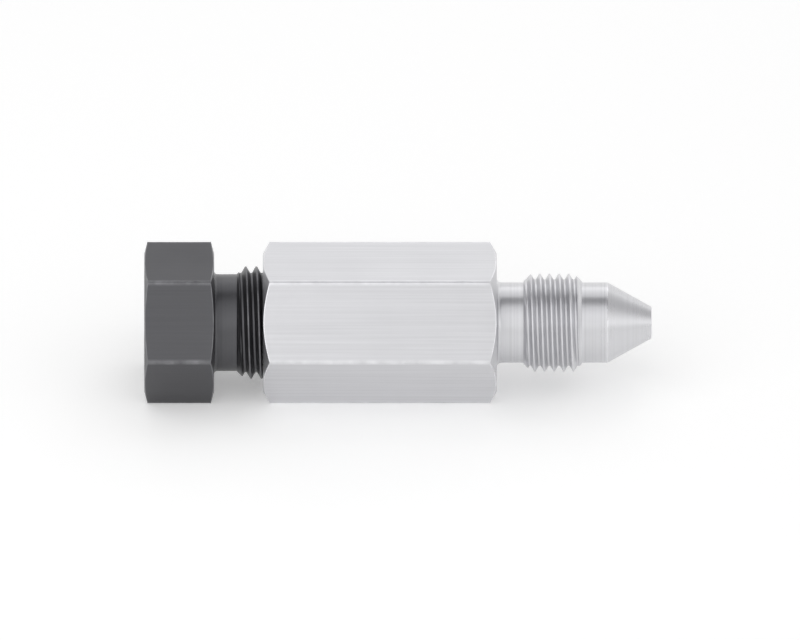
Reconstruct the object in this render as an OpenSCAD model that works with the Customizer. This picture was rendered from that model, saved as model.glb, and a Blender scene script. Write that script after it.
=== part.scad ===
// Tube fitting adapter: a hexagon body that takes a tube at one end, where a nut presses
// two ferrules round it, and has a coned and threaded nose at the other end.
// The flow axis is X, the nut is towards -X, and the part lies on a flat of its hexagons.

/* [Tube] */
// Outside diameter of the tube that the ferrules grip
tube_od = 6.35; // [6:0.05:6.6]
// Radial room round the tube in the ferrules and in the body
tube_clearance = 0.09; // [0.05:0.01:0.15]
// Radial room round the tube in the nut
nut_tube_clearance = 0.12; // [0.08:0.01:0.2]

/* [Body] */
// Width of the body across its flats
body_hex_af = 15.875; // [15:0.125:18]
// Length of the body's hexagon
body_hex_length = 26.46; // [24:0.1:30]
// Angle of the body's end chamfers from the end face
body_chamfer_angle = 30; // [20:1:40]
// Depth of the female thread from the body's open end
socket_thread_depth = 8.8; // [8:0.1:10]
// Depth of the drilled chamber that the ferrules stand in
chamber_depth = 13.1; // [12:0.1:14]
// Radius in the chamber's inner corner
chamber_corner_r = 0.4; // [0.2:0.05:0.5]
// How far the tapered seat opens out from the tube's pocket to its mouth
seat_rise = 1.425; // [1.25:0.025:1.6]
// Angle of the seat from the axis
seat_angle = 12; // [10:0.5:14]
// Depth of the straight pocket that centres the tube's end
pocket_depth = 0.98; // [0.6:0.02:1.6]
// Included angle of the drill point at the bottom of the pocket
drill_point_angle = 140; // [118:2:150]
// Diameter of the bore that the fluid flows through
flow_bore_d = 2.78; // [2.4:0.02:3]

/* [Nose] */
// How far the plain shank lies under the root of the nose thread
shank_relief = 0.355; // [0.2:0.005:0.5]
// Length of plain shank between the hexagon and the thread
shank_length = 3.0; // [2.5:0.1:4]
// Radius where the shank runs into the hexagon's face
shank_fillet_r = 0.5; // [0.2:0.05:0.8]
// Outside diameter of the nose thread
nose_thread_d = 11.11; // [10.8:0.02:11.5]
// Pitch of the nose thread
nose_pitch = 1.09; // [1:0.01:1.2]
// Length of the nose thread
nose_thread_length = 6.59; // [6:0.1:8]
// Height of the small step at each end of the nose thread
nose_thread_step = 0.15; // [0.05:0.01:0.2]
// Length of plain shank between the thread and the cone
pilot_length = 2.93; // [2:0.1:4]
// Included angle of the nose cone
nose_cone_angle = 58; // [50:1:62]
// Wall round the flow bore at the tip of the nose
nose_tip_wall = 0.4; // [0.2:0.02:0.8]

/* [Nut] */
// Width of the nut across its flats
nut_hex_af = 15.875; // [15:0.125:18]
// Length of the nut's hexagon
nut_hex_length = 7.9; // [6:0.1:10]
// Angle of the nut's chamfers from its faces
nut_chamfer_angle = 15; // [10:1:30]
// How far the nut's plain neck lies under the root of its thread
nut_neck_relief = 0.15; // [0.05:0.01:0.3]
// Length of the nut's plain neck
nut_neck_length = 2.55; // [2:0.1:4]
// Radius where the neck runs into the hexagon's face
nut_fillet_r = 0.35; // [0.1:0.05:0.6]
// Length of the nut's thread, with its chamfered ends
nut_thread_length = 7.96; // [7:0.1:9]
// Outside diameter of the nut's thread
nut_thread_d = 12.7; // [12.5:0.05:13]
// Pitch of the nut's thread
nut_pitch = 1.2; // [1.1:0.01:1.25]
// Size of the chamfer where the tube enters the nut
nut_mouth_chamfer = 0.45; // [0.2:0.05:0.8]
// Angle of the nut's hollow end from a flat face
nut_seat_angle = 15; // [10:1:20]
// Width of the flat ring at the nut's end, round its hollow
nut_end_ring = 0.53; // [0.3:0.01:0.8]

/* [Back ferrule] */
// Length of the flange's rim
back_rim_length = 0.7; // [0.6:0.02:1]
// Wall of the back ferrule's shank
back_shank_wall = 0.885; // [0.8:0.005:1]
// Length of the shank from the flange to its nose chamfer
back_shank_length = 0.92; // [0.85:0.01:1.2]
// Radius on the flange's front edge and in the corner under it
back_corner_r = 0.23; // [0.1:0.01:0.25]
// How much the bore widens in radius towards the nut
back_bore_flare = 0.07; // [0.02:0.01:0.12]

/* [Front ferrule] */
// Length of the flange
front_flange_length = 3.05; // [2.6:0.05:3.6]
// Chamfer on the flange's rear edge
front_rear_chamfer = 0.37; // [0.1:0.01:0.5]
// Radius on the flange's front edge and in the corner under it
front_corner_r = 0.34; // [0.1:0.02:0.5]
// Wall of the front ferrule's sleeve
front_sleeve_wall = 0.98; // [0.9:0.01:1.1]
// Length of the whole front ferrule
front_length = 9.09; // [8.6:0.05:9.6]
// Length of the taper that meets the seat
front_nose_length = 0.25; // [0.1:0.05:0.8]
// Depth of the rear counterbore round the back ferrule's shank
front_counterbore_depth = 0.59; // [0.4:0.01:0.75]
// Distance from the ferrule's tip to the deep end of the groove in its bore
groove_start = 3.0; // [2.8:0.05:4]
// Length over which the groove in the bore runs out
groove_length = 1.8; // [1:0.05:2]
// Depth of the groove in the bore
groove_depth = 0.15; // [0.05:0.01:0.25]
// Depth of the recess in the ferrule's tip
tip_recess_depth = 0.6; // [0.3:0.02:0.9]
// Thickness of the lip round that recess
tip_lip = 0.27; // [0.2:0.01:0.35]

/* [Threads and fits] */
// Angle between the flanks of both threads
thread_angle = 60; // [50:1:60]
// Depth of a thread as a share of its pitch
thread_depth_share = 0.6; // [0.5:0.01:0.62]
// Width of a thread's flat crest as a share of its pitch
thread_crest_share = 0.125; // [0.08:0.005:0.14]
// Radial room between the nut's thread and the body's
thread_clearance = 0.1; // [0.06:0.01:0.12]
// Radial room round the front ferrule's flange in the chamber
flange_clearance = 0.24; // [0.1:0.01:0.4]
// Gap between the cones that seat on each other
seat_gap = 0.05; // [0.03:0.01:0.08]
// Radial room between the back ferrule's shank and the front ferrule
nest_clearance = 0.05; // [0.03:0.01:0.08]
// How far each hexagon's turned end face stays inside its flats
face_inset = 0.15; // [0.05:0.01:0.3]

/* [Hidden] */
$fn = 96;
// How far shapes run into each other where they are joined or cut
overlap = 0.05;
// Flat facets in one turn of a thread
turn_steps = 48;
// The angle from Y at which a crest of each thread meets the thread's start
nut_thread_turn = 115;
nose_thread_turn = 172;

body_colour = [0.82, 0.82, 0.83];
nut_colour = [0.37, 0.37, 0.38];
front_ferrule_colour = [0.52, 0.52, 0.53];
back_ferrule_colour = [0.77, 0.78, 0.78];

tube_bore_r = tube_od / 2 + tube_clearance;
nut_bore_r = tube_od / 2 + nut_tube_clearance;
nut_thread_depth = nut_pitch * thread_depth_share;
nut_root_r = nut_thread_d / 2 - nut_thread_depth;
nut_neck_r = nut_root_r - nut_neck_relief;
chamber_r = nut_root_r + thread_clearance;
seat_mouth_r = tube_bore_r + seat_rise;
flow_r = flow_bore_d / 2;

nose_thread_depth = nose_pitch * thread_depth_share;
shank_r = nose_thread_d / 2 - nose_thread_depth - shank_relief;
nose_tip_r = flow_r + nose_tip_wall;

back_flange_r = nut_root_r - nut_end_ring;
back_shank_r = tube_bore_r + back_shank_wall;
counterbore_r = back_shank_r + nest_clearance;
front_flange_r = chamber_r - flange_clearance;
front_sleeve_r = tube_bore_r + front_sleeve_wall;
front_tip_r = front_sleeve_r - front_nose_length * tan(seat_angle);

// Places along the axis, counted from the body's open end
pocket_x = chamber_depth + seat_rise / tan(seat_angle);
drill_x = pocket_x + pocket_depth;
flow_x = drill_x + (tube_bore_r - flow_r) / tan(drill_point_angle / 2);
nose_thread_x = body_hex_length + shank_length;
pilot_x = nose_thread_x + nose_thread_length;
cone_x = pilot_x + pilot_length;
tip_x = cone_x + (shank_r - nose_tip_r) / tan(nose_cone_angle / 2);

// The front ferrule's tip stops against the seat, where the seat is as wide as the tip
front_tip_x = chamber_depth + (seat_mouth_r - front_tip_r) / tan(seat_angle) - seat_gap / sin(seat_angle);
front_x = front_tip_x - front_length;
front_cone_x = front_x + front_counterbore_depth;

// The back ferrule's 45 degree nose stops in the front ferrule's rear cone
back_nose_x = front_cone_x + nest_clearance - seat_gap * sqrt(2);
back_face_x = back_nose_x - back_shank_length;
back_rim_x = back_face_x - back_rim_length;

// The nut's hollow end stops against the back ferrule
nut_end_x = back_rim_x - seat_gap / cos(nut_seat_angle);
nut_thread_x = nut_end_x - nut_thread_length;
nut_neck_x = nut_thread_x - nut_neck_length;
nut_x = nut_neck_x - nut_hex_length;

// The body's thread is cut from outside its open end, a whole number of turns along from
// the start of the nut's thread, so that the two are in mesh
tap_x = nut_thread_x + nut_pitch * floor((-overlap - nut_thread_x) / nut_pitch);

// The origin is on the axis, halfway along the whole fitting
centre_x = (nut_x + tip_x) / 2;

// Turns an outline about the axis: its x runs along the axis and its y is the radius
module turned() {
    translate([-centre_x, 0, 0])
        rotate([0, 90, 0])
            rotate_extrude()
                mirror([1, -1, 0]) children();
}

// The piece between a square corner at [x, r] and a radius in it.
// along and out are 1 or -1, and say which way the piece lies from the corner.
module corner_piece(x, r, size, along, out) {
    translate([x, r])
        scale([along, out])
            difference() {
                translate([-overlap, -overlap]) square(size + overlap);
                translate([size, size]) circle(size);
            }
}

// Hexagon bar from x0 to x1, flats up and down, both ends chamfered to a round face
module hex_bar(x0, x1, across_flats, chamfer_angle) {
    corner_r = across_flats / 2 / cos(30);
    face_r = across_flats / 2 - face_inset;
    rim_r = corner_r + overlap;
    chamfer = (rim_r - face_r) * tan(chamfer_angle);
    intersection() {
        translate([x0 - centre_x, 0, 0])
            rotate([0, 90, 0])
                rotate([0, 0, 30])
                    cylinder(h = x1 - x0, r = corner_r, $fn = 6);
        turned() polygon([
            [x0, 0],
            [x0, face_r],
            [x0 + chamfer, rim_r],
            [x1 - chamfer, rim_r],
            [x1, face_r],
            [x1, 0]
        ]);
    }
}

// A solid screw round X with a right-hand thread, full from x = 0 to x = length, with the
// middle of a crest at x = 0 on the Y side. Four helical edges bound each turn: two of the
// root and two of the crest.
module screw(major_r, depth, pitch, length) {
    crest = pitch * thread_crest_share;
    flank = depth * tan(thread_angle / 2);
    root_r = major_r - depth;
    edge_x = [
        crest / 2 + flank,
        pitch - crest / 2 - flank,
        pitch - crest / 2,
        pitch + crest / 2
    ];
    edge_r = [root_r, root_r, major_r, major_r];
    start_x = -2 * pitch;
    turns = ceil((length - start_x - crest / 2) / pitch);
    last = 4 * turns - 1;

    function edge_point(row, step) =
        let (
            angle = 360 * step / turn_steps,
            x = start_x + edge_x[row % 4] + pitch * (floor(row / 4) + step / turn_steps)
        )
        [x, edge_r[row % 4] * cos(angle), edge_r[row % 4] * sin(angle)];

    // The end of a turn's last step is the start of the same edge, four rows on
    function at(row, step) =
        step == turn_steps ? at(row + 4, 0)
        : row <= last ? row * turn_steps + step
        : (last + 1) * turn_steps + row - last - 1;

    start_centre = at(last + 5, 0);
    end_centre = start_centre + 1;
    points = concat(
        [for (row = [0:last], step = [0:turn_steps - 1]) edge_point(row, step)],
        [for (row = [last + 1:last + 4]) edge_point(row, 0)],
        [
            [edge_point(0, 0)[0] + pitch / 2, 0, 0],
            [edge_point(last, 0)[0] + pitch / 2, 0, 0]
        ]
    );
    side = [
        for (row = [0:last - 1], step = [0:turn_steps - 1], half = [0, 1])
            half == 0
            ? [at(row, step), at(row + 1, step), at(row + 1, step + 1)]
            : [at(row, step), at(row + 1, step + 1), at(row, step + 1)]
    ];
    caps = concat(
        [for (step = [0:turn_steps - 1]) [start_centre, at(0, step), at(0, step + 1)]],
        [for (row = [0:3]) [start_centre, at(row + 1, 0), at(row, 0)]],
        [for (step = [0:turn_steps - 1]) [end_centre, at(last, step + 1), at(last, step)]],
        [for (row = [last:last + 3]) [end_centre, at(row, 0), at(row + 1, 0)]]
    );
    polyhedron(points = points, faces = concat(side, caps), convexity = 10);
}

// A threaded bar from x0 to x1, turned down at 45 degrees to start_r and end_r at its ends
module threaded_bar(x0, x1, major_r, depth, pitch, turn, start_r, end_r) {
    rim_r = major_r + overlap;
    intersection() {
        translate([x0 - centre_x, 0, 0])
            rotate([turn, 0, 0])
                screw(major_r, depth, pitch, x1 - x0);
        turned() polygon([
            [x0, 0],
            [x0, start_r],
            [x0 + rim_r - start_r, rim_r],
            [x1 - rim_r + end_r, rim_r],
            [x1, end_r],
            [x1, 0]
        ]);
    }
}

// The nut's own thread
module nut_thread() {
    threaded_bar(
        nut_thread_x,
        nut_end_x,
        nut_thread_d / 2,
        nut_thread_depth,
        nut_pitch,
        nut_thread_turn,
        nut_neck_r,
        nut_root_r
    );
}

// The tap that cuts the body's thread: the nut's thread made larger all round by the clearance
module socket_tap() {
    tap_r = nut_thread_d / 2 + thread_clearance;
    threaded_bar(
        tap_x,
        socket_thread_depth,
        tap_r,
        nut_thread_depth + thread_clearance,
        nut_pitch,
        nut_thread_turn,
        tap_r,
        nut_root_r
    );
}

// Everything hollow in the body: chamber, seat, tube pocket, drill point and flow bore
module body_cavity() {
    turned() difference() {
        polygon([
            [-overlap, 0],
            [-overlap, chamber_r],
            [chamber_depth, chamber_r],
            [chamber_depth, seat_mouth_r],
            [pocket_x, tube_bore_r],
            [drill_x, tube_bore_r],
            [flow_x, flow_r],
            [tip_x + overlap, flow_r],
            [tip_x + overlap, 0]
        ]);
        corner_piece(chamber_depth, chamber_r, chamber_corner_r, -1, -1);
    }
}

// The turned end of the body: shank, pilot and nose cone
module nose_blank() {
    turned() {
        polygon([
            [body_hex_length - overlap, 0],
            [body_hex_length - overlap, shank_r],
            [cone_x, shank_r],
            [tip_x, nose_tip_r],
            [tip_x, 0]
        ]);
        corner_piece(body_hex_length, shank_r, shank_fillet_r, 1, 1);
    }
}

module nose_thread() {
    end_r = shank_r + nose_thread_step;
    threaded_bar(
        nose_thread_x,
        pilot_x,
        nose_thread_d / 2,
        nose_thread_depth,
        nose_pitch,
        nose_thread_turn,
        end_r,
        end_r
    );
}

module adapter_body() {
    color(body_colour) difference() {
        union() {
            hex_bar(0, body_hex_length, body_hex_af, body_chamfer_angle);
            nose_blank();
            nose_thread();
        }
        body_cavity();
        socket_tap();
    }
}

// The way for the tube through the nut, with the hollow end that presses the back ferrule
module nut_cavity() {
    mouth_r = nut_bore_r + nut_mouth_chamfer;
    seat_depth = (back_flange_r - nut_bore_r) * tan(nut_seat_angle);
    turned() polygon([
        [nut_x - overlap, 0],
        [nut_x - overlap, mouth_r + overlap],
        [nut_x + nut_mouth_chamfer, nut_bore_r],
        [nut_end_x - seat_depth, nut_bore_r],
        [nut_end_x, back_flange_r],
        [nut_end_x + overlap, back_flange_r],
        [nut_end_x + overlap, 0]
    ]);
}

module nut_neck() {
    turned() {
        translate([nut_neck_x - overlap, 0])
            square([nut_neck_length + 2 * overlap, nut_neck_r]);
        corner_piece(nut_neck_x, nut_neck_r, nut_fillet_r, 1, 1);
    }
}

module gland_nut() {
    color(nut_colour) difference() {
        union() {
            hex_bar(nut_x, nut_neck_x, nut_hex_af, nut_chamfer_angle);
            nut_neck();
            nut_thread();
        }
        nut_cavity();
    }
}

module back_ferrule() {
    rear_r = tube_bore_r + back_bore_flare;
    color(back_ferrule_colour) {
        turned() difference() {
            polygon([
                [back_rim_x - (back_flange_r - rear_r) * tan(nut_seat_angle), rear_r],
                [back_rim_x, back_flange_r],
                [back_face_x, back_flange_r],
                [back_face_x, back_shank_r],
                [back_nose_x, back_shank_r],
                [back_nose_x + back_shank_wall, tube_bore_r]
            ]);
            corner_piece(back_face_x, back_flange_r, back_corner_r, -1, -1);
        }
        turned() corner_piece(back_face_x, back_shank_r, back_corner_r, 1, 1);
    }
}

module front_ferrule() {
    flange_face_x = front_x + front_flange_length;
    recess_x = front_tip_x - tip_recess_depth;
    recess_r = front_tip_r - tip_lip;
    groove_x = front_tip_x - groove_start;
    color(front_ferrule_colour) {
        turned() difference() {
            polygon([
                [front_x, counterbore_r],
                [front_x, front_flange_r - front_rear_chamfer],
                [front_x + front_rear_chamfer, front_flange_r],
                [flange_face_x, front_flange_r],
                [flange_face_x, front_sleeve_r],
                [front_tip_x - front_nose_length, front_sleeve_r],
                [front_tip_x, front_tip_r],
                [front_tip_x, recess_r],
                [recess_x, recess_r],
                [recess_x, tube_bore_r],
                [groove_x + groove_length, tube_bore_r],
                [groove_x, tube_bore_r + groove_depth],
                [groove_x, tube_bore_r],
                [front_cone_x + counterbore_r - tube_bore_r, tube_bore_r],
                [front_cone_x, counterbore_r]
            ]);
            corner_piece(flange_face_x, front_flange_r, front_corner_r, -1, -1);
        }
        turned() corner_piece(flange_face_x, front_sleeve_r, front_corner_r, 1, 1);
    }
}

adapter_body();
gland_nut();
front_ferrule();
back_ferrule();
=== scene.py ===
"""The looks of a straight tube fitting adapter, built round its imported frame.

A piece is made in millimetres and brought to metres when it is finished. The flow axis is X,
the nut is towards -X, and angles round the axis are counted from Y towards Z.
"""

import logging
import math
from dataclasses import dataclass, field, replace
from enum import Enum
from itertools import pairwise

import bmesh
import bpy
from bmesh.types import BMEdge, BMesh, BMFace, BMVert
from bpy.types import Material, Node, NodeSocket, NodeTree, Object, World
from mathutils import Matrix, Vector


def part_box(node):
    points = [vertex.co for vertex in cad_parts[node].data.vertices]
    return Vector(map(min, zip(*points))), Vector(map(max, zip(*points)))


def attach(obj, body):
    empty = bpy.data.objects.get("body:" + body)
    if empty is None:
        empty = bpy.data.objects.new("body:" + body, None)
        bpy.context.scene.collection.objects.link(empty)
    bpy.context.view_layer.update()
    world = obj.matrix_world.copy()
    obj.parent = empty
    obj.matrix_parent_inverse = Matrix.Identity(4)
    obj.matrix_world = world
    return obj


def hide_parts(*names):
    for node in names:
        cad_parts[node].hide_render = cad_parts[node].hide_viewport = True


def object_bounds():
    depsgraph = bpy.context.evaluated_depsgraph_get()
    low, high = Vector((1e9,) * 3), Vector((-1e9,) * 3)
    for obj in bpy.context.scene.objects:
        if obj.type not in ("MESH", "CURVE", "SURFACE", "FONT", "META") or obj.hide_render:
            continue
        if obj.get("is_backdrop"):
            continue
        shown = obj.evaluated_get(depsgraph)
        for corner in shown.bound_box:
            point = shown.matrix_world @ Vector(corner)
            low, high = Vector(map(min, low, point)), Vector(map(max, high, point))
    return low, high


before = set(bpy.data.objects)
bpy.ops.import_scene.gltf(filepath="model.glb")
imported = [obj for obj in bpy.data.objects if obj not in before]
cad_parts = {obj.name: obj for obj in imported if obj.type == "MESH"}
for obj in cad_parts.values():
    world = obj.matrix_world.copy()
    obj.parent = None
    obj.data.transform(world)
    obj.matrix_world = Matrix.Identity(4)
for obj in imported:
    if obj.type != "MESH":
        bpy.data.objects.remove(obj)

LOG = logging.getLogger("adapter")

MM = 0.001  # a millimetre in metres
COLUMNS = 144  # steps round the axis
ARC_STEPS = 4  # steps round a softened corner
THREAD_ARC_STEPS = 2  # the same on a thread
FLANK_CUTS = 4  # cuts across a thread's flank
LEAD_TURNS = 2  # turns that a thread is wound past its ends, before it is cut off
GUARD = 0.03  # plain metal beside a softened corner or a joined rim
WELD = 0.0005  # points closer than this are one
RIM_REACH = 0.01  # how far a point may lie from its rim
FACE_INSET = 0.15  # how far a hexagon's turned ends stay inside its flats
BAR_EDGE = 0.18  # reach of the rounding on each side of a hexagon's long edge
BAR_EDGE_STEPS = 3
CLEAR = 1.0  # how far a thread's zone reaches past its crests
SIDE_TILT = 0.1  # how far a bar's side may face along the axis
SHARP_ANGLE = math.radians(32)
# mask of rubbed outer edges and thread crests, which lightens their colour: partly bare rubbed
# metal, partly a painted highlight
WEAR_AND_SHEEN = "edge_wear_and_sheen"
# share of that mask on thread crests: rubbed metal and painted highlight
CREST_WEAR_AND_SHEEN = 0.6
RING = "ring"

RING_SHARE = 0.83  # share of the radius in the place that turned marks are read at
DRAWN_STRETCH = 0.012  # share of the length in the place that drawn marks are read at
CLOUD = {"scale": 160.0, "detail": 4.0}
SPECK = {"scale": 2600.0, "detail": 2.0}
BLOTCH = {"scale": 700.0, "detail": 5.0}
MARKS_GAIN = 1.5  # how strongly the marks show in the colour
CLOUD_GAIN = 0.5
RUB_AND_SHEEN_GAIN = 1.5  # how strongly blotches break up the mask of an edge, which is rubbed metal and painted highlight
RUB_AND_SHEEN_LOSS = 0.3
SPECK_SHARE = 0.3  # height of the specks as a share of the marks'
QUARTER_TURN = 0.25


class Grain(Enum):
    """The way the marks of making run on a surface."""

    DRAWN = "along the bar"
    TURNED = "round the axis"


@dataclass(frozen=True)
class Marks:
    """The marks that a way of making leaves on steel.

    Attributes:
        grain: The way they run.
        spacing: Distance between them.
        duller: What they add to the steel's roughness.
        relief: Their height.
        tone: Share by which they darken and lighten the colour.
        brushed: How far they draw highlights out across them.
    """

    grain: Grain
    spacing: float
    duller: float
    relief: float
    tone: float
    brushed: float


class Surface(Enum):
    """The surfaces of a piece by their marks, in the order of its materials."""

    TURNED = Marks(Grain.TURNED, 0.34, 0.0, 0.0045, 0.11, 0.6)
    BAR = Marks(Grain.DRAWN, 0.26, 0.05, 0.0022, 0.08, 0.4)
    THREAD = Marks(Grain.TURNED, 0.20, 0.02, 0.0012, 0.08, 0.3)
    SEAL = Marks(Grain.TURNED, 0.18, -0.01, 0.0012, 0.04, 0.5)


@dataclass(frozen=True)
class Hexagon:
    """The outline of hexagon bar, with corners to the front and back.

    Attributes:
        across_flats: Width between opposite sides.
    """

    across_flats: float

    @property
    def corner(self) -> float:
        """Distance from the axis to a corner."""
        return self.across_flats / 2 / math.cos(math.pi / 6)

    @property
    def face(self) -> float:
        """Radius of the turned faces at its ends."""
        return self.across_flats / 2 - FACE_INSET

    def radius(self, angle: float) -> float:
        """Finds the hexagon's side at an angle.

        Args:
            angle: Angle round the axis in radians.

        Returns:
            Distance from the axis to the side.
        """
        off_flat = angle % (math.pi / 3) - math.pi / 6
        return self.across_flats / 2 / math.cos(off_flat)


@dataclass(frozen=True)
class Corner:
    """A corner of an outline that is turned round the axis.

    Attributes:
        x: Place along the axis.
        r: Distance from the axis.
        soft: Radius that the corner is rounded to.
        hexagon: The bar whose sides the corner lies on instead of a circle, if any.
        lean: How far x moves for each millimetre that the bar stands out past r.
    """

    x: float
    r: float
    soft: float = 0.0
    hexagon: Hexagon | None = None
    lean: float = 0.0

    def place(self, angle: float) -> Vector:
        """Finds the corner at an angle.

        Args:
            angle: Angle round the axis in radians.

        Returns:
            Place along the axis and distance from it.
        """
        if self.hexagon is None:
            return Vector((self.x, self.r))
        radius = self.hexagon.radius(angle)
        return Vector((self.x + self.lean * (radius - self.r), radius))


def rounded(before: Vector, corner: Vector, after: Vector, soft: float, steps: int) -> list[Vector]:
    """Rounds one corner of an outline.

    Args:
        before: The point before the corner.
        corner: The corner.
        after: The point after the corner.
        soft: Radius of the rounding.
        steps: Number of straight steps in it.

    Returns:
        Points of the rounding, from its start to its end.
    """
    back = (before - corner).normalized()
    ahead = (after - corner).normalized()
    turn = math.pi - back.angle(ahead)
    tangent = soft * math.tan(turn / 2)
    middle = (back + ahead).normalized()
    centre = corner + middle * (soft / math.cos(turn / 2))
    start = corner + back * tangent - centre
    sign = 1 if ahead.cross(back) > 0 else -1
    points = []
    for step in range(steps + 1):
        angle = sign * turn * step / steps
        cosine = math.cos(angle)
        sine = math.sin(angle)
        spoke = Vector((start.x * cosine - start.y * sine, start.x * sine + start.y * cosine))
        points.append(centre + spoke)
    return points


@dataclass(frozen=True)
class Outline:
    """An open outline from rim to rim, with solid metal on its right-hand side.

    Attributes:
        corners: The corners in order.
    """

    corners: tuple[Corner, ...]

    def trace(self, angle: float) -> tuple[list[Vector], list[float]]:
        """Follows the outline at an angle, round its softened corners.

        Args:
            angle: Angle round the axis in radians.

        Returns:
            The points, and for each point 1 on a rubbed outer edge, which is also painted lighter
            as a highlight, and 0 elsewhere.
        """
        places = [corner.place(angle) for corner in self.corners]
        points = [places[0]]
        wear_and_sheen = [0.0]
        for index in range(1, len(places) - 1):
            before, here, after = places[index - 1 : index + 2]
            soft = self.corners[index].soft
            if soft == 0:
                points.append(here)
                wear_and_sheen.append(0.0)
                continue
            arc = rounded(before, here, after, soft, ARC_STEPS)
            outer = (here - before).cross(after - here) < 0
            points.append(arc[0] + (before - here).normalized() * GUARD)
            points.extend(arc)
            points.append(arc[-1] + (after - here).normalized() * GUARD)
            # outer rounded corners are marked to be painted lighter: rubbed metal and a painted
            # highlight
            wear_and_sheen.extend([0.0, *[1.0 if outer else 0.0] * len(arc), 0.0])
        points.append(places[-1])
        wear_and_sheen.append(0.0)
        return points, wear_and_sheen


@dataclass(frozen=True)
class Thread:
    """A right-hand thread, as the surface that its metal and the air share.

    Attributes:
        major: Outer radius.
        depth: Radial depth.
        pitch: Length of one turn.
        crest: Width of the surface's outermost flat.
        turn: Degrees by which that flat's middle lags at the thread's start.
        start: Where it starts along the axis.
        flank_angle: Angle between the two flanks in radians.
        soft: Radius at the edges of crest and root.
    """

    major: float
    depth: float
    pitch: float
    crest: float
    turn: float
    start: float = 0.0
    flank_angle: float = math.radians(60)
    soft: float = 0.045

    @property
    def minor(self) -> float:
        """Inner radius."""
        return self.major - self.depth

    @property
    def phase(self) -> float:
        """A place along the axis where the crest's middle crosses angle 0."""
        return self.start - self.pitch * self.turn / 360

    def section(self) -> list[Vector]:
        """Draws one turn of the thread.

        Returns:
            Points from the middle of a root to the middle of the next.
        """
        half_crest = self.crest / 2
        foot = half_crest + self.depth * math.tan(self.flank_angle / 2)
        places = [
            Vector((-self.pitch / 2, self.minor)),
            Vector((-foot, self.minor)),
            Vector((-half_crest, self.major)),
            Vector((half_crest, self.major)),
            Vector((foot, self.minor)),
            Vector((self.pitch / 2, self.minor)),
        ]
        points = [places[0]]
        for index in range(1, len(places) - 1):
            arc = rounded(*places[index - 1 : index + 2], self.soft, THREAD_ARC_STEPS)
            on_flank = index % 2 == 0
            if on_flank:
                last = points[-1]
                points.extend(
                    last.lerp(arc[0], cut / (FLANK_CUTS + 1)) for cut in range(1, FLANK_CUTS + 1)
                )
            points.extend(arc)
        points.append(places[-1])
        return points


@dataclass(frozen=True)
class Bevelled:
    """The limit that a turned bar's own shape sets to a thread cut on it.

    Attributes:
        start: Where the thread starts along the axis.
        end: Where it ends.
        start_r: Radius at the start, which widens from there at 45 degrees.
        end_r: Radius at the end.
        least: Radius that the limit never goes under.
    """

    start: float
    end: float
    start_r: float
    end_r: float
    least: float = 0.0

    def radius(self, x: float) -> float:
        """Finds the limit at a place along the axis.

        Args:
            x: The place.

        Returns:
            The largest radius that the thread can have there.
        """
        rise = min(self.start_r + max(x - self.start, 0), self.end_r + max(self.end - x, 0))
        return max(rise, self.least)


def drawn(points: list[Vector], wear_and_sheen: list[float]) -> tuple[BMesh, list[BMVert | BMEdge]]:
    """Starts a mesh with points and the edges between them at angle 0.

    Args:
        points: Places along the axis and distances from it.
        wear_and_sheen: How much each point is rubbed bare and painted lighter as a highlight.

    Returns:
        The mesh, and its vertices and edges.
    """
    bm = bmesh.new()
    ring = bm.verts.layers.int.new(RING)
    worn_and_sheen = bm.verts.layers.float.new(WEAR_AND_SHEEN)
    verts = []
    for index, point in enumerate(points):
        vert = bm.verts.new((point.x, point.y, 0))
        vert[ring] = index
        vert[worn_and_sheen] = wear_and_sheen[index]
        verts.append(vert)
    edges = [bm.edges.new(pair) for pair in pairwise(verts)]
    return bm, [*verts, *edges]


def turned(outline: Outline) -> BMesh:
    """Turns an outline round the axis, and brings it out to its hexagon's sides.

    Args:
        outline: The outline.

    Returns:
        The band that it sweeps.
    """
    bm, line = drawn(*outline.trace(0.0))
    bmesh.ops.spin(
        bm,
        geom=line,
        axis=(1, 0, 0),
        cent=(0, 0, 0),
        angle=math.tau,
        steps=COLUMNS,
        use_merge=True,
    )
    ring = bm.verts.layers.int[RING]
    traces: dict[int, list[Vector]] = {}
    for vert in bm.verts:
        column = round(math.atan2(vert.co.z, vert.co.y) / math.tau * COLUMNS) % COLUMNS
        angle = math.tau * column / COLUMNS
        if column not in traces:
            traces[column] = outline.trace(angle)[0]
        point = traces[column][vert[ring]]
        vert.co = (point.x, point.y * math.cos(angle), point.y * math.sin(angle))
    return bm


def bearing(vert: BMVert) -> float:
    """Finds where a vertex stands round the axis.

    Args:
        vert: The vertex.

    Returns:
        Its angle in radians, counted from half a column before angle 0.
    """
    return (math.atan2(vert.co.z, vert.co.y) + math.pi / COLUMNS) % math.tau


def keep_within(vert: BMVert, limit: Bevelled) -> None:
    """Brings a vertex in to a limit if it stands outside it.

    Args:
        vert: The vertex.
        limit: The limit.
    """
    radius = math.hypot(vert.co.y, vert.co.z)
    most = limit.radius(vert.co.x)
    if radius > most:
        vert.co.y *= most / radius
        vert.co.z *= most / radius


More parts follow.
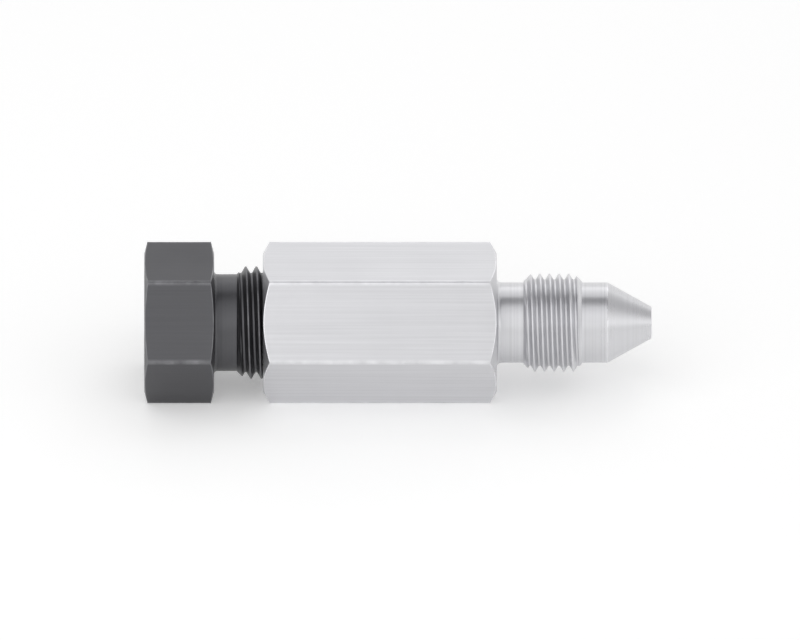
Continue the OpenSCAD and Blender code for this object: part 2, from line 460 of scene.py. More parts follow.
def wound(thread: Thread, limit: Bevelled) -> BMesh:
    """Winds a thread round the axis, limits it and cuts it off square at both ends.

    Args:
        thread: The thread.
        limit: The turned shape that it is cut on.

    Returns:
        The thread's surface.
    """
    first = math.floor((limit.start - thread.phase) / thread.pitch) - LEAD_TURNS
    turns = math.ceil((limit.end - limit.start) / thread.pitch) + 2 * LEAD_TURNS
    start = Vector((thread.phase + first * thread.pitch, 0))
    section = [point + start for point in thread.section()]
    crest_r = thread.major - thread.soft
    # thread crests get part of the mask that paints edges lighter: rubbed metal and a painted
    # highlight
    bm, line = drawn(section, [CREST_WEAR_AND_SHEEN if point.y > crest_r else 0.0 for point in section])
    bmesh.ops.spin(
        bm,
        geom=line,
        axis=(1, 0, 0),
        cent=(0, 0, 0),
        dvec=(thread.pitch / COLUMNS, 0, 0),
        angle=math.tau,
        steps=COLUMNS,
    )
    one_turn = [*bm.verts, *bm.edges, *bm.faces]
    for turn in range(1, turns):
        copy = bmesh.ops.duplicate(bm, geom=one_turn)["geom"]
        verts = [item for item in copy if isinstance(item, BMVert)]
        bmesh.ops.translate(bm, vec=(turn * thread.pitch, 0, 0), verts=verts)
    bmesh.ops.remove_doubles(bm, verts=bm.verts, dist=WELD)
    for vert in bm.verts:
        keep_within(vert, limit)
    for x, way in ((limit.start, -1), (limit.end, 1)):
        bmesh.ops.bisect_plane(
            bm,
            geom=[*bm.verts, *bm.edges, *bm.faces],
            dist=WELD,
            plane_co=(x, 0, 0),
            plane_no=(way, 0, 0),
            clear_outer=True,
        )
    for vert in bm.verts:
        if min(abs(vert.co.x - limit.start), abs(vert.co.x - limit.end)) < RIM_REACH:
            keep_within(vert, limit)
    return bm


class Workpiece:
    """A mesh on the bench, in millimetres, made of turned bands and threads joined at rims."""

    def __init__(self) -> None:
        """Starts with no metal."""
        self.bm: BMesh = bmesh.new()

    def add(self, part: BMesh) -> None:
        """Lays a band or a thread with the rest.

        Args:
            part: The part, which is used up.
        """
        part.verts.layers.int.remove(part.verts.layers.int[RING])
        mesh = bpy.data.meshes.new("part")
        part.to_mesh(mesh)
        part.free()
        self.bm.from_mesh(mesh)
        bpy.data.meshes.remove(mesh)

    def rim(self, x: float, inner: float, outer: float | None = None) -> list[BMEdge]:
        """Finds the open edges round a rim.

        Args:
            x: Place of the rim along the axis.
            inner: Its radius, or its least radius if it is wavy.
            outer: The largest radius of a wavy rim.

        Returns:
            The rim's edges.
        """
        most = (inner if outer is None else outer) + RIM_REACH
        return [
            edge
            for edge in self.bm.edges
            if edge.is_boundary
            and all(
                abs(vert.co.x - x) < RIM_REACH
                and inner - RIM_REACH < math.hypot(vert.co.y, vert.co.z) < most
                for vert in edge.verts
            )
        ]

    def join(self, *rims: tuple[float, ...]) -> None:
        """Closes the gap between two rims, stepping round both in order of angle.

        Args:
            *rims: Each rim's place and its one or two radii.
        """
        rings: list[list[BMVert]] = []
        steps: list[tuple[float, int]] = []
        for side, rim in enumerate(rims):
            edges = self.rim(*rim)
            ring = sorted({vert for edge in edges for vert in edge.verts}, key=bearing)
            steps.extend((bearing(vert), side) for vert in ring[1:])
            steps.append((bearing(ring[0]) + math.tau, side))
            rings.append([*ring, ring[0]])
        reached = [0, 0]
        for _, side in sorted(steps):
            here = [ring[index] for ring, index in zip(rings, reached)]
            reached[side] += 1
            self.bm.faces.new((*here, rings[side][reached[side]]))

    def weld(self) -> None:
        """Makes one of the points that meet where an outline ends at its own start."""
        bmesh.ops.remove_doubles(self.bm, verts=self.bm.verts, dist=WELD)

    def break_corners(self, hexagon: Hexagon) -> None:
        """Rounds the long edges of a hexagon.

        Args:
            hexagon: The bar.
        """
        on_corner = {
            vert
            for vert in self.bm.verts
            if math.hypot(vert.co.y, vert.co.z) > hexagon.corner - WELD
        }
        edges = [edge for edge in self.bm.edges if on_corner.issuperset(edge.verts)]
        made = bmesh.ops.bevel(
            self.bm,
            geom=edges,
            offset=BAR_EDGE,
            offset_type="OFFSET",
            segments=BAR_EDGE_STEPS,
            profile=0.5,
            affect="EDGES",
            material=-1,
        )
        # the new rounding on the long edges gets the full mask: rubbed metal and a painted
        # highlight
        worn_and_sheen = self.bm.verts.layers.float[WEAR_AND_SHEEN]
        for vert in made["verts"]:
            vert[worn_and_sheen] = 1.0

    def finish(self, name: str, sort: "Sorter", steel: "Steel") -> Object:
        """Makes the workpiece an object, in metres.

        Args:
            name: The piece's name.
            sort: Tells its surfaces apart.
            steel: Its steel.

        Returns:
            The object.
        """
        order = list(Surface)
        bmesh.ops.recalc_face_normals(self.bm, faces=self.bm.faces)
        for face in self.bm.faces:
            face.smooth = True
            face.material_index = order.index(sort.surface(face))
        open_edges = sum(not edge.is_manifold for edge in self.bm.edges)
        bmesh.ops.scale(self.bm, vec=(MM, MM, MM), verts=self.bm.verts)
        mesh = bpy.data.meshes.new(name)
        self.bm.to_mesh(mesh)
        self.bm.free()
        mesh.set_sharp_from_angle(angle=SHARP_ANGLE)
        for surface in order:
            mesh.materials.append(steel.material(surface))
        piece = bpy.data.objects.new(name, mesh)
        bpy.context.scene.collection.objects.link(piece)
        LOG.info("%s: %d faces, %d open edges", name, len(mesh.polygons), open_edges)
        return piece


Zone = tuple[float, float, float, float]


@dataclass(frozen=True)
class Sorter:
    """Tells the surfaces of a piece apart, by their place on it.

    Attributes:
        bar: From and to where hexagon bar shows along the axis.
        hexagon: The bar, if the piece has one.
        threads: From and to where each thread runs, with its least and largest radius.
        seals: The same for each fine sealing surface.
    """

    bar: tuple[float, float] = (0.0, 0.0)
    hexagon: Hexagon | None = None
    threads: tuple[Zone, ...] = ()
    seals: tuple[Zone, ...] = ()

    def surface(self, face: BMFace) -> Surface:
        """Finds how a face was made.

        Args:
            face: The face.

        Returns:
            The surface that it belongs to.
        """
        centre = face.calc_center_median()
        radius = math.hypot(centre.y, centre.z)
        if self.hexagon is not None and self.bar[0] < centre.x < self.bar[1]:
            on_side = radius > self.hexagon.across_flats / 2 - RIM_REACH
            if on_side and abs(face.normal.x) < SIDE_TILT:
                return Surface.BAR
        for surface, zones in ((Surface.THREAD, self.threads), (Surface.SEAL, self.seals)):
            for start, end, inner, outer in zones:
                if start < centre.x < end and inner < radius < outer:
                    return surface
        return Surface.TURNED


Value = NodeSocket | float | tuple
Colour = tuple[float, float, float]


class NodeBench:
    """Adds and links the nodes of a material or a world."""

    def __init__(self, owner: Material | World) -> None:
        """Starts with an empty tree.

        Args:
            owner: What the nodes are for.
        """
        owner.use_nodes = True
        self.tree: NodeTree = owner.node_tree
        self.tree.nodes.clear()

    def add(
        self, kind: str, inputs: dict[str | int, Value] | None = None, **settings: object
    ) -> Node:
        """Adds a node.

        Args:
            kind: The node's type.
            inputs: What goes into its sockets, by their name or number.
            **settings: Values of its own properties.

        Returns:
            The node.
        """
        node = self.tree.nodes.new(kind)
        for key, value in settings.items():
            setattr(node, key, value)
        for key, value in (inputs or {}).items():
            self.feed(node.inputs[key], value)
        return node

    def feed(self, socket: NodeSocket, value: Value) -> None:
        """Links a socket to another, or sets its value.

        Args:
            socket: The input.
            value: An output, or a constant.
        """
        if isinstance(value, NodeSocket):
            self.tree.links.new(value, socket)
        else:
            socket.default_value = value

    def math(self, operation: str, *values: NodeSocket | float, clamp: bool = False) -> NodeSocket:
        """Adds a sum of two or three values.

        Args:
            operation: The name of the sum.
            *values: Its inputs.
            clamp: Whether the result is kept from 0 to 1.

        Returns:
            The result.
        """
        inputs = dict(enumerate(values))
        node = self.add("ShaderNodeMath", inputs, operation=operation, use_clamp=clamp)
        return node.outputs[0]

    def noise(
        self, where: NodeSocket, scale: float, detail: float = 3.0, one_way: bool = False
    ) -> NodeSocket:
        """Adds a noise.

        Args:
            where: The place to read it at, one number if it varies one way only.
            scale: Its fineness, per metre.
            detail: How many finer layers it has.
            one_way: Whether it varies one way only.

        Returns:
            The noise, from 0 to 1.
        """
        inputs = {"W" if one_way else "Vector": where, "Scale": scale, "Detail": detail}
        dimensions = "1D" if one_way else "3D"
        return self.add("ShaderNodeTexNoise", inputs, noise_dimensions=dimensions).outputs[0]

    def mix(
        self, share: NodeSocket | float, one: NodeSocket | tuple, other: NodeSocket | tuple
    ) -> NodeSocket:
        """Mixes two colours.

        Args:
            share: Share of the second.
            one: The first colour.
            other: The second colour.

        Returns:
            The mixed colour.
        """
        node = self.add("ShaderNodeMix", data_type="RGBA")
        colours = [socket for socket in node.inputs if socket.type == "RGBA"]
        self.feed(node.inputs[0], share)
        self.feed(colours[0], one)
        self.feed(colours[1], other)
        return next(socket for socket in node.outputs if socket.type == "RGBA")


@dataclass(frozen=True)
class Steel:
    """The steel of one piece, with the finishes of its surfaces.

    Attributes:
        name: The steel's name.
        colour: Its colour as a picture holds it, from 0 to 1.
        sheen_and_wear_colour: The lighter colour of its rubbed edges, partly bare metal and partly
            a painted highlight, in the same way.
        roughness: How dull its turned surfaces are.
        smear: How much the dullness varies.
        polish: How much less dull a rubbed edge is.
    """

    name: str
    colour: Colour
    sheen_and_wear_colour: Colour
    roughness: float
    smear: float = 0.08
    polish: float = 0.06

    @staticmethod
    def _linear(colour: Colour, share: float = 1.0) -> tuple[float, ...]:
        """Turns a picture's colour into light, times a share, with an alpha of 1."""
        return (*(share * ((part + 0.055) / 1.055) ** 2.4 for part in colour), 1.0)

    @staticmethod
    def _marks(bench: NodeBench, place: NodeSocket, made: Marks) -> NodeSocket:
        """Draws the marks of making.

        Args:
            bench: The material's nodes.
            place: The object's own coordinates.
            made: The kind of marks.

        Returns:
            The marks, from 0 to 1.
        """
        fineness = 1 / (made.spacing * MM)
        if made.grain is Grain.DRAWN:
            stretched = {"Vector": place, "Scale": (DRAWN_STRETCH, 1.0, 1.0)}
            return bench.noise(bench.add("ShaderNodeMapping", stretched).outputs[0], fineness)
        split = bench.add("ShaderNodeSeparateXYZ", {0: place})
        flat = {0: place, 1: (0.0, 1.0, 1.0)}
        across = bench.add("ShaderNodeVectorMath", flat, operation="MULTIPLY")
        length = bench.add("ShaderNodeVectorMath", {0: across.outputs[0]}, operation="LENGTH")
        along = bench.math("MULTIPLY_ADD", length.outputs["Value"], RING_SHARE, split.outputs[0])
        return bench.noise(along, fineness, one_way=True)

    def material(self, surface: Surface) -> Material:
        """Makes the finish of a surface.

        Args:
            surface: The surface.

        Returns:
            Its material.
        """
        made = surface.value
        material = bpy.data.materials.new(f"{self.name}_{surface.name.lower()}")
        bench = NodeBench(material)
        place = bench.add("ShaderNodeTexCoord").outputs["Object"]
        marks = self._marks(bench, place, made)
        cloud = bench.noise(place, **CLOUD)
        speck = bench.noise(place, **SPECK)
        blotch = bench.noise(place, **BLOTCH)

        dark = self._linear(self.colour, 1 - made.tone)
        light = self._linear(self.colour, 1 + made.tone)
        drift = bench.math("MULTIPLY_ADD", cloud, CLOUD_GAIN, -CLOUD_GAIN)
        shade = bench.math("MULTIPLY_ADD", marks, MARKS_GAIN, drift, clamp=True)
        # rubbed edges and thread crests are mixed to a lighter colour: partly bare rubbed metal,
        # partly a painted highlight
        edge = bench.add("ShaderNodeAttribute", attribute_name=WEAR_AND_SHEEN)
        rub_and_sheen = bench.math("MULTIPLY_ADD", blotch, RUB_AND_SHEEN_GAIN, -RUB_AND_SHEEN_LOSS, clamp=True)
        worn_and_sheen = bench.math("MULTIPLY", edge.outputs["Fac"], rub_and_sheen, clamp=True)
        colour = bench.mix(worn_and_sheen, bench.mix(shade, dark, light), self._linear(self.sheen_and_wear_colour))

        least = self.roughness + made.duller - self.smear
        smear = bench.math("MULTIPLY_ADD", cloud, 2 * self.smear, least)
        streak = bench.math("MULTIPLY_ADD", marks, self.smear, -self.smear / 2)
        dull = bench.math("ADD", smear, streak)
        dull = bench.math("MULTIPLY_ADD", worn_and_sheen, -self.polish, dull, clamp=True)

        height = bench.math("MULTIPLY_ADD", speck, SPECK_SHARE, marks)
        relief = {"Strength": 1.0, "Distance": made.relief * MM, "Height": height}
        round_axis = bench.add("ShaderNodeTangent", direction_type="RADIAL", axis="X")
        shader = bench.add("ShaderNodeBsdfPrincipled", {
            "Base Color": colour,
            "Metallic": 1.0,
            "Roughness": dull,
            "Normal": bench.add("ShaderNodeBump", relief).outputs[0],
            "Anisotropic": made.brushed,
            "Anisotropic Rotation": 0.0 if made.grain is Grain.DRAWN else QUARTER_TURN,
            "Tangent": round_axis.outputs[0],
        })
        bench.add("ShaderNodeOutputMaterial", {"Surface": shader.outputs[0]})
        return material


@dataclass
class Piece:
    """A piece of the fitting, which stands for one node of the frame.

    Attributes:
        node: The frame's node.
        body: The body that it rides on.
        steel: Its steel.
        lowest: Least coordinates of its box in the frame.
        highest: Greatest coordinates of that box.
    """

    node: str
    body: str
    steel: Steel
    lowest: Vector = field(init=False)
    highest: Vector = field(init=False)

    def __post_init__(self) -> None:
        """Reads where the frame has the piece, in millimetres."""
        low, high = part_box(self.node)
        self.lowest = low / MM
        self.highest = high / MM

    def build(self) -> Object:
        """Makes the piece's mesh."""
        raise NotImplementedError

    def place(self) -> Object:
        """Builds the piece and hands it to the frame.

        Returns:
            The piece.
        """
        piece = self.build()
        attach(piece, self.body)
        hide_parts(self.node)
        return piece


@dataclass
class GlandNut(Piece):
    """The nut, whose hollow end presses on the ferrules.

    Attributes:
        hexagon: Its bar.
        chamfer_angle: Angle of the chamfers from the faces in radians.
        neck_length: Length of the plain neck.
        thread_length: Length of the thread.
        form: The thread's form.
        neck_r: Radius of the neck.
        neck_fillet: Radius where the neck meets the hexagon.
        bore_r: Radius of the way for the tube.
        mouth: Size of the chamfer where the tube enters.
        hollow_r: Radius of the hollow end at its rim.
        hollow_angle: Its angle from a flat face in radians.
        edge: Radius that edges are rounded to.
        mouth_edge: The same at the mouth.
        hollow_edge: The same at the hollow end's rim.
    """

    hexagon: Hexagon = Hexagon(15.875)
    chamfer_angle: float = math.radians(15)
    neck_length: float = 2.55
    thread_length: float = 7.96
    form: Thread = Thread(major=6.35, depth=0.72, pitch=1.2, crest=0.15, turn=115.0)
    neck_r: float = 5.48
    neck_fillet: float = 0.35
    bore_r: float = 3.295
    mouth: float = 0.45
    hollow_r: float = 5.1
    hollow_angle: float = math.radians(15)
    edge: float = 0.1
    mouth_edge: float = 0.08
    hollow_edge: float = 0.05

    def thread(self) -> Thread:
        """Gives the nut's thread in its place."""
        return replace(self.form, start=self.highest.x - self.thread_length)

    def build(self) -> Object:
        """Makes the nut."""
        outer_x = self.lowest.x
        end_x = self.highest.x
        thread_x = end_x - self.thread_length
        neck_x = thread_x - self.neck_length
        root_r = self.form.minor
        face_r = self.hexagon.face
        lean = math.tan(self.chamfer_angle)
        hollow = (self.hollow_r - self.bore_r) * math.tan(self.hollow_angle)
        work = Workpiece()
        work.add(turned(Outline((
            Corner(end_x, root_r - GUARD),
            Corner(end_x, self.hollow_r, self.hollow_edge),
            Corner(end_x - hollow, self.bore_r, self.edge),
            Corner(outer_x + self.mouth, self.bore_r, self.edge),
            Corner(outer_x, self.bore_r + self.mouth, self.mouth_edge),
            Corner(outer_x, face_r, self.edge),
            Corner(outer_x, face_r, self.edge, self.hexagon, lean),
            Corner(neck_x, face_r, self.edge, self.hexagon, -lean),
            Corner(neck_x, face_r, self.edge),
            Corner(neck_x, self.neck_r, self.neck_fillet),
            Corner(thread_x - GUARD, self.neck_r),
        ))))
        work.add(wound(self.thread(), Bevelled(thread_x, end_x, self.neck_r, root_r)))
        work.join((end_x, root_r - GUARD), (end_x, root_r))
        work.join((thread_x - GUARD, self.neck_r), (thread_x, self.neck_r))
        work.break_corners(self.hexagon)
        sorter = Sorter(
            bar=(outer_x, neck_x),
            hexagon=self.hexagon,
            threads=((thread_x, end_x, self.neck_r + RIM_REACH, self.form.major + CLEAR),),
        )
        return work.finish("machined_gland_nut", sorter, self.steel)


@dataclass
class AdapterBody(Piece):
    """The body: hexagon, socket, seat, flow bore and threaded nose.

    Attributes:
        nut: The nut, whose thread the socket's thread follows.
        hexagon: Its bar.
        hex_length: Length of the hexagon.
        chamfer_angle: Angle of the chamfers from the faces in radians.
        socket_thread_depth: How far the socket's thread reaches in.
        socket_clearance: Gap all round the nut's thread.
        chamber_depth: How far the chamber behind it reaches in.
        chamber_corner: Radius at the foot of the chamber.
        seat_mouth_r: Largest radius of the tapered seat.
        seat_angle: Angle of the seat from the axis in radians.
        pocket_r: Radius of the tube's pocket.
        pocket_depth: Length of the pocket.
        drill_half_angle: Angle of the drill point's cone from the axis in radians.
        flow_r: Radius of the flow bore.
        shank_r: Radius of the nose's plain shank and of its pilot.
        shank_length: Length of the shank.
        shank_fillet: Radius where the shank meets the hexagon.
        nose_form: Form of the nose thread.
        nose_thread_length: Length of the nose thread.
        nose_step: How far the thread's ends stand out from the shank.
        pilot_length: Length of the pilot between thread and cone.
        tip_r: Radius of the cone's tip.
        edge: Radius that edges are rounded to.
        outer_edge: The same on the hexagon's chamfers and the tip.
        pilot_edge: The same between pilot and cone.
        bore_edge: The same on the flow bore.
        drill_edge: The same on the drill point.
    """

    nut: GlandNut
    hexagon: Hexagon = Hexagon(15.875)
    hex_length: float = 26.46
    chamfer_angle: float = math.radians(30)
    socket_thread_depth: float = 8.8
    socket_clearance: float = 0.1
    chamber_depth: float = 13.1
    chamber_corner: float = 0.4
    seat_mouth_r: float = 4.69
    seat_angle: float = math.radians(12)
    pocket_r: float = 3.265
    pocket_depth: float = 0.98
    drill_half_angle: float = math.radians(70)
    flow_r: float = 1.39
    shank_r: float = 4.546
    shank_length: float = 3.0
    shank_fillet: float = 0.5
    nose_form: Thread = Thread(major=5.555, depth=0.654, pitch=1.09, crest=0.13625, turn=172.0)
    nose_thread_length: float = 6.59
    nose_step: float = 0.15
    pilot_length: float = 2.93
    tip_r: float = 1.79
    edge: float = 0.1
    outer_edge: float = 0.12
    pilot_edge: float = 0.25
    bore_edge: float = 0.08
    drill_edge: float = 0.05

    def _hexagon_band(self, thread_x: float, mouth_r: float) -> Outline:
        """Draws the outside from the nose thread's start back to the socket's face.

        Args:
            thread_x: Start of the nose thread.
            mouth_r: Radius at which the socket's face starts.

        Returns:
            The outline.
        """
        face_x = self.lowest.x
        hex_end = face_x + self.hex_length
        face_r = self.hexagon.face
        lean = math.tan(self.chamfer_angle)
        step_r = self.shank_r + self.nose_step
        return Outline((
            Corner(face_x, mouth_r),
            Corner(face_x, face_r, self.edge),
            Corner(face_x, face_r, self.outer_edge, self.hexagon, lean),
            Corner(hex_end, face_r, self.outer_edge, self.hexagon, -lean),
            Corner(hex_end, face_r, self.edge),
            Corner(hex_end, self.shank_r, self.shank_fillet),
            Corner(thread_x, self.shank_r),
            Corner(thread_x, step_r - GUARD),
        ))

    def _inside_band(self, pilot_x: float, thread_end: float) -> Outline:
        """Draws the nose from its thread's end, and the inside back to the socket's thread.

        Args:
            pilot_x: End of the nose thread.
            thread_end: Inner end of the socket's thread.

        Returns:
            The outline.
        """
        chamber_x = self.lowest.x + self.chamber_depth
        rise = self.seat_mouth_r - self.pocket_r
        pocket_x = chamber_x + rise / math.tan(self.seat_angle)
        drill_x = pocket_x + self.pocket_depth
        flow_x = drill_x + (self.pocket_r - self.flow_r) / math.tan(self.drill_half_angle)
        tip_x = self.highest.x
        return Outline((
            Corner(pilot_x, self.shank_r + self.nose_step - GUARD),
            Corner(pilot_x, self.shank_r),
            Corner(pilot_x + self.pilot_length, self.shank_r, self.pilot_edge),
            Corner(tip_x, self.tip_r, self.outer_edge),
            Corner(tip_x, self.flow_r, self.bore_edge),
            Corner(flow_x, self.flow_r, self.bore_edge),
            Corner(drill_x, self.pocket_r, self.drill_edge),
            Corner(pocket_x, self.pocket_r, self.edge),
            Corner(chamber_x, self.seat_mouth_r, self.edge),
            Corner(chamber_x, self.socket_r, self.chamber_corner),
            Corner(thread_end + GUARD, self.socket_r),
        ))

    @property
    def socket_r(self) -> float:
        """Radius of the socket's bore."""
        return self.nut.form.minor + self.socket_clearance

    def build(self) -> Object:
        """Makes the body."""
        face_x = self.lowest.x
        nose_x = face_x + self.hex_length + self.shank_length
        pilot_x = nose_x + self.nose_thread_length
        socket_end = face_x + self.socket_thread_depth
        mouth_r = self.nut.form.major + self.socket_clearance
        step_r = self.shank_r + self.nose_step
        socket_thread = replace(self.nut.thread(), major=mouth_r)
        nose_thread = replace(self.nose_form, start=nose_x)
        work = Workpiece()
        work.add(turned(self._hexagon_band(nose_x, mouth_r + GUARD)))
        work.add(turned(self._inside_band(pilot_x, socket_end)))
        work.add(wound(nose_thread, Bevelled(nose_x, pilot_x, step_r, step_r)))
        end_r = self.socket_r - self.socket_clearance
        socket_limit = Bevelled(face_x, socket_end, mouth_r, end_r, least=self.socket_r)
        work.add(wound(socket_thread, socket_limit))
        work.join((nose_x, step_r - GUARD), (nose_x, step_r))
        work.join((pilot_x, step_r - GUARD), (pilot_x, step_r))
        work.join((face_x, mouth_r + GUARD), (face_x, self.socket_r, mouth_r))
        work.join((socket_end + GUARD, self.socket_r), (socket_end, self.socket_r))
        work.break_corners(self.hexagon)
        cone_x = pilot_x + self.pilot_length
        sorter = Sorter(
            bar=(face_x, face_x + self.hex_length),
            hexagon=self.hexagon,
            threads=(
                (nose_x, pilot_x, step_r - GUARD, self.nose_form.major + CLEAR),
                (face_x, socket_end, self.socket_r + RIM_REACH, mouth_r),
            ),
            seals=((cone_x, self.highest.x, self.flow_r + RIM_REACH, self.shank_r),),
        )
        return work.finish("machined_adapter_body", sorter, self.steel)


@dataclass
class FrontFerrule(Piece):
    """The long ferrule, which seals between the tube and the body's seat.

    Attributes:
        flange_length: Length of the flange.
        flange_r: Radius of the flange.
        rear_chamfer: Size of the chamfer round its rear.
        corner: Radius of its front edge, and of the corner behind the sleeve.
        sleeve_r: Radius of the sleeve.
        bore_r: Radius of the way for the tube.
        nose_length: Length of the tapered tip.
        seat_angle: Angle of the tip's taper from the axis in radians.
        counterbore_r: Radius of the counterbore in the rear.
        counterbore_depth: Depth of the counterbore before its cone.
        groove_start: How far from the tip the bore's groove starts.
        groove_length: Length of the groove.
        groove_depth: Depth of the groove at its start.
        recess_depth: Depth of the recess in the tip.
        lip: Width of the rim round the recess.
        edge: Radius that edges are rounded to.
    """

    flange_length: float = 3.05
    flange_r: float = 5.49
    rear_chamfer: float = 0.37
    corner: float = 0.34
    sleeve_r: float = 4.245
    bore_r: float = 3.265
    nose_length: float = 0.25
    seat_angle: float = math.radians(12)
    counterbore_r: float = 4.2
    counterbore_depth: float = 0.59
    groove_start: float = 3.0
    groove_length: float = 1.8
    groove_depth: float = 0.15
    recess_depth: float = 0.6
    lip: float = 0.27
    edge: float = 0.06

    def build(self) -> Object:
        """Makes the front ferrule."""
        rear = self.lowest.x
        tip = self.highest.x
        flange = rear + self.flange_length
        tip_r = self.sleeve_r - self.nose_length * math.tan(self.seat_angle)
        groove = tip - self.groove_start
        recess = tip - self.recess_depth
        cone = rear + self.counterbore_depth
        work = Workpiece()
        rim = Corner(rear, self.counterbore_r + self.edge * 2)
        work.add(turned(Outline((
            rim,
            Corner(rear, self.counterbore_r, self.edge),
            Corner(cone, self.counterbore_r, self.edge),
            Corner(cone + self.counterbore_r - self.bore_r, self.bore_r, self.edge),
            Corner(groove, self.bore_r),
            Corner(groove, self.bore_r + self.groove_depth),
            Corner(groove + self.groove_length, self.bore_r),
            Corner(recess, self.bore_r, self.edge),
            Corner(recess, tip_r - self.lip, self.edge),
            Corner(tip, tip_r - self.lip, self.edge),
            Corner(tip, tip_r, self.edge),
            Corner(tip - self.nose_length, self.sleeve_r),
            Corner(flange, self.sleeve_r, self.corner),
            Corner(flange, self.flange_r, self.corner),
            Corner(rear + self.rear_chamfer, self.flange_r, self.edge),
            Corner(rear, self.flange_r - self.rear_chamfer, self.edge),
            rim,
        ))))
        work.weld()
        sorter = Sorter(seals=((tip - self.nose_length, tip, tip_r - WELD, self.sleeve_r),))
        return work.finish("machined_front_ferrule", sorter, self.steel)


@dataclass
class BackFerrule(Piece):
    """The short ferrule, which the nut drives into the front one.

    Attributes:
        rim_length: Length of the flange's rim.
        flange_r: Radius of the flange.
        shank_r: Radius of the shank.
        shank_length: Length of the shank before its nose.
        bore_r: Radius of the way for the tube at the tip.
        flare: How much wider the way is at the rear.
        corner: Radius of the flange's front edge, and of the corner behind the shank.
        rear_angle: Angle of the coned rear from a flat face in radians.
        edge: Radius that edges are rounded to.
    """

    rim_length: float = 0.7
    flange_r: float = 5.1
    shank_r: float = 4.15
    shank_length: float = 0.92
    bore_r: float = 3.265
    flare: float = 0.07
    corner: float = 0.23
    rear_angle: float = math.radians(15)
    edge: float = 0.06

    def build(self) -> Object:
        """Makes the back ferrule."""
        rear = self.lowest.x
        rear_r = self.bore_r + self.flare
        rim = rear + (self.flange_r - rear_r) * math.tan(self.rear_angle)
        face = rim + self.rim_length
        nose = face + self.shank_length
        tip = nose + self.shank_r - self.bore_r
        middle_r = (rear_r + self.flange_r) / 2
        start = Corner(rear + (middle_r - rear_r) * math.tan(self.rear_angle), middle_r)
        work = Workpiece()
        work.add(turned(Outline((
            start,
            Corner(rear, rear_r, self.edge),
            Corner(tip, self.bore_r, self.edge),
            Corner(nose, self.shank_r, self.edge),
            Corner(face, self.shank_r, self.corner),
            Corner(face, self.flange_r, self.corner),
            Corner(rim, self.flange_r, self.edge),
            start,
        ))))
        work.weld()
        return work.finish("machined_back_ferrule", Sorter(), self.steel)


@dataclass(frozen=True)
class Softbox:
    """A square lamp that looks at the fitting.

    Attributes:
        name: The lamp's name.
        azimuth: Where it stands round the fitting, in degrees, 0 being the camera's side.
        elevation: Its height above the horizon in degrees.
        distance: Distance from the fitting in metres.
        size: Length of its side in metres.
        power: Its power in watts.
    """

    name: str
    azimuth: float
    elevation: float
    distance: float
    size: float
    power: float


def towards(azimuth: float, elevation: float) -> Vector:
    """Points from the fitting to where something stands.

    Args:
        azimuth: Angle round it in degrees, 0 being the camera's side.
        elevation: Angle above the horizon in degrees.

    Returns:
        A direction of length 1.
    """
    turn = math.radians(azimuth)
    rise = math.radians(elevation)
    level = math.cos(rise)
    return Vector((math.sin(turn) * level, -math.cos(turn) * level, math.sin(rise)))


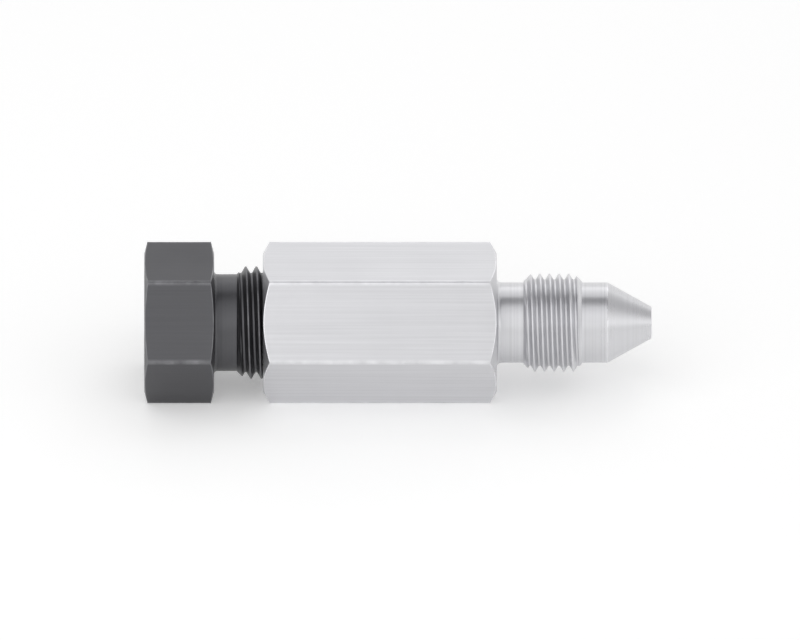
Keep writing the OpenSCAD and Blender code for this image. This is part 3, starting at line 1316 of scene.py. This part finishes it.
@dataclass(frozen=True)
class Studio:
    """A pale floor, soft lamps and the camera.

    Attributes:
        floor_size: Length of the floor's side in metres.
        floor_colour: The floor's colour as light.
        floor_roughness: How dull the floor is.
        floor_gloss: How far it mirrors.
        floor_lift: What the camera and the metal see it brighter by, which makes it white.
        sky: Strength of the even light on surfaces.
        fall: The sines of height at which the sky that is seen starts and stops to darken.
        zenith: Its colour above that.
        picture: Width and height of the photograph in pixels.
        scale: Millimetres to a pixel of the photograph.
        object_at: Where the fitting's middle is in the photograph, in pixels.
        camera_elevation: The camera's height above the horizon in degrees.
        camera_distance: Its distance in metres.
        camera_reach: How far it sees in metres.
        lamps: The lamps.
    """

    floor_size: float = 3.0
    floor_colour: float = 0.93
    floor_roughness: float = 0.9
    floor_gloss: float = 0.1
    floor_lift: float = 0.27
    sky: float = 0.62
    fall: tuple[float, float] = (0.35, 0.9)
    zenith: Colour = (0.34, 0.34, 0.35)
    picture: tuple[int, int] = (800, 640)
    scale: float = 0.113
    object_at: tuple[float, float] = (397.98, 322.55)
    camera_elevation: float = 30.0
    camera_distance: float = 0.6
    camera_reach: float = 10.0
    lamps: tuple[Softbox, ...] = (
        Softbox("key", -40.0, 52.0, 0.34, 0.44, 0.42),
        Softbox("rim", 168.0, 50.0, 0.36, 0.30, 0.17),
        Softbox("fill", 48.0, 34.0, 0.42, 0.38, 0.13),
    )

    def floor(self, height: float) -> None:
        """Lays the floor.

        Args:
            height: Its height in metres.
        """
        bm = bmesh.new()
        bmesh.ops.create_grid(bm, x_segments=1, y_segments=1, size=self.floor_size / 2)
        bmesh.ops.translate(bm, vec=(0, 0, height), verts=bm.verts)
        mesh = bpy.data.meshes.new("floor")
        bm.to_mesh(mesh)
        bm.free()
        material = bpy.data.materials.new("pale_floor")
        bench = NodeBench(material)
        shader = bench.add("ShaderNodeBsdfPrincipled", {
            "Base Color": (*(self.floor_colour,) * 3, 1.0),
            "Roughness": self.floor_roughness,
            "Specular IOR Level": self.floor_gloss,
        })
        rays = bench.add("ShaderNodeLightPath").outputs
        seen = bench.math("MAXIMUM", rays["Is Camera Ray"], rays["Is Glossy Ray"])
        strength = bench.math("MULTIPLY", seen, self.floor_lift)
        lift = bench.add("ShaderNodeEmission", {"Strength": strength})
        both = bench.add("ShaderNodeAddShader", {0: shader.outputs[0], 1: lift.outputs[0]})
        bench.add("ShaderNodeOutputMaterial", {"Surface": both.outputs[0]})
        mesh.materials.append(material)
        floor = bpy.data.objects.new("floor", mesh)
        bpy.context.scene.collection.objects.link(floor)
        floor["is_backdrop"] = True

    def light(self) -> None:
        """Sets up the lamps and the even light round them."""
        for lamp in self.lamps:
            data = bpy.data.lights.new(lamp.name, "AREA")
            data.shape = "SQUARE"
            data.size = lamp.size
            data.energy = lamp.power
            place = towards(lamp.azimuth, lamp.elevation)
            lamp_object = bpy.data.objects.new(lamp.name, data)
            lamp_object.location = place * lamp.distance
            lamp_object.rotation_euler = (-place).to_track_quat("-Z", "Y").to_euler()
            bpy.context.scene.collection.objects.link(lamp_object)
        world = bpy.data.worlds.new("studio")
        bpy.context.scene.world = world
        bench = NodeBench(world)
        rays = bench.add("ShaderNodeLightPath").outputs
        seen = bench.math("MAXIMUM", rays["Is Camera Ray"], rays["Is Glossy Ray"])
        seen = bench.math("MAXIMUM", seen, rays["Is Transmission Ray"])
        even = bench.add("ShaderNodeBackground", {"Strength": self.sky})
        way = bench.add("ShaderNodeTexCoord").outputs["Generated"]
        height = bench.add("ShaderNodeSeparateXYZ", {0: way}).outputs["Z"]
        fall = bench.add("ShaderNodeValToRGB", {0: height})
        ends = zip(fall.color_ramp.elements, self.fall, ((1.0, 1.0, 1.0), self.zenith))
        for end, position, colour in ends:
            end.position = position
            end.color = (*colour, 1.0)
        backdrop = bench.add("ShaderNodeBackground", {"Color": fall.outputs[0], "Strength": 1.0})
        shares = {0: seen, 1: even.outputs[0], 2: backdrop.outputs[0]}
        mix = bench.add("ShaderNodeMixShader", shares)
        bench.add("ShaderNodeOutputWorld", {"Surface": mix.outputs[0]})

    def camera(self, middle: Vector) -> None:
        """Sets up the camera at the photograph's angle and scale.

        Args:
            middle: The fitting's middle in metres.
        """
        data = bpy.data.cameras.new("camera")
        data.type = "ORTHO"
        data.ortho_scale = self.picture[0] * self.scale * MM
        data.clip_end = self.camera_reach
        back = towards(0.0, self.camera_elevation)
        turn = (-back).to_track_quat("-Z", "Y")
        right = (self.picture[0] / 2 - self.object_at[0]) * self.scale * MM
        up = (self.object_at[1] - self.picture[1] / 2) * self.scale * MM
        camera = bpy.data.objects.new("camera", data)
        camera.location = middle + back * self.camera_distance + turn @ Vector((right, up, 0))
        camera.rotation_euler = turn.to_euler()
        bpy.context.scene.collection.objects.link(camera)
        bpy.context.scene.camera = camera


# the second colour of each steel is that of its rubbed edges and thread crests, lighter partly as
# bare metal and partly as a painted highlight
BODY_STEEL = Steel("body_steel", (0.82, 0.82, 0.83), (0.93, 0.93, 0.94), 0.30)
NUT_STEEL = Steel("nut_steel", (0.37, 0.37, 0.38), (0.58, 0.58, 0.59), 0.38)
FRONT_STEEL = Steel("front_ferrule_steel", (0.52, 0.52, 0.53), (0.72, 0.72, 0.73), 0.30)
BACK_STEEL = Steel("back_ferrule_steel", (0.77, 0.78, 0.78), (0.90, 0.90, 0.91), 0.28)


def main() -> None:
    """Builds the fitting and its studio."""
    logging.basicConfig(level=logging.INFO, format="%(name)s: %(message)s")
    cad_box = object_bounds()
    nut = GlandNut("gland_nut", "nut", NUT_STEEL)
    pieces = (
        AdapterBody("adapter_body", "fitting_body", BODY_STEEL, nut=nut),
        nut,
        FrontFerrule("front_ferrule", "ferrule_set", FRONT_STEEL),
        BackFerrule("back_ferrule", "ferrule_set", BACK_STEEL),
    )
    for piece in pieces:
        piece.place()
    studio = Studio()
    studio.floor(cad_box[0].z)
    studio.light()
    studio.camera((cad_box[0] + cad_box[1]) / 2)
    bpy.context.scene.view_settings.view_transform = "Standard"


if __name__ == "__main__":
    main()
